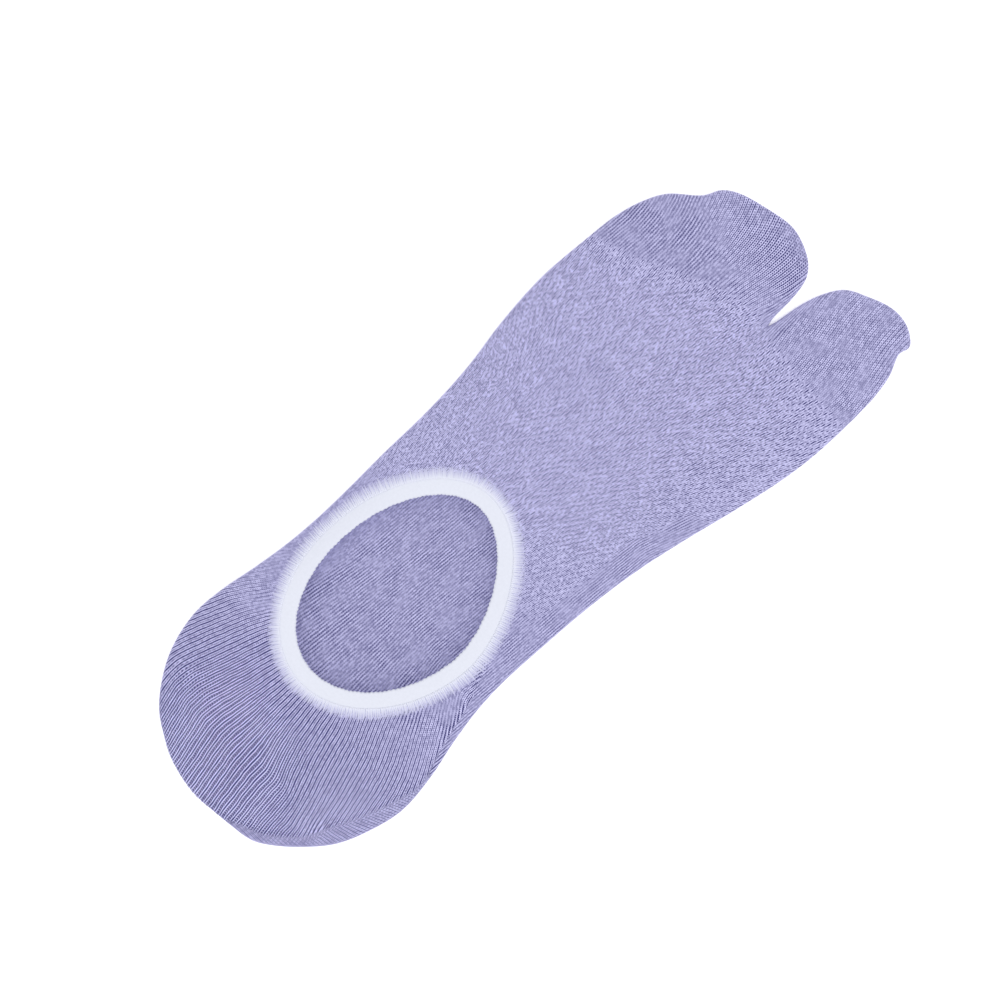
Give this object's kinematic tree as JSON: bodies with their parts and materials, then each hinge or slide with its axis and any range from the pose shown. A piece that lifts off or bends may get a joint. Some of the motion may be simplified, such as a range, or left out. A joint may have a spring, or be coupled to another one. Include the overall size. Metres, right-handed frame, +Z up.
{
  "type": "split-toe no-show sock",
  "caption": "Low-cut split-toe liner sock laid flat, with a separate big-toe pocket, a turned heel and a white elastic round its mouth.",
  "frame": {"origin": "on the ground under the middle of the sock's box", "axes": "+Y from heel to toes, +X towards the big toe's side, +Z up"},
  "size_m": [0.0828, 0.22, 0.0058],
  "materials": {
    "knit": "matte",
    "elastic": "satin"
  },
  "bodies": {
    "root": {"knit_sock": "knit", "mouth_elastic": "elastic"}
  },
  "joints": []
}
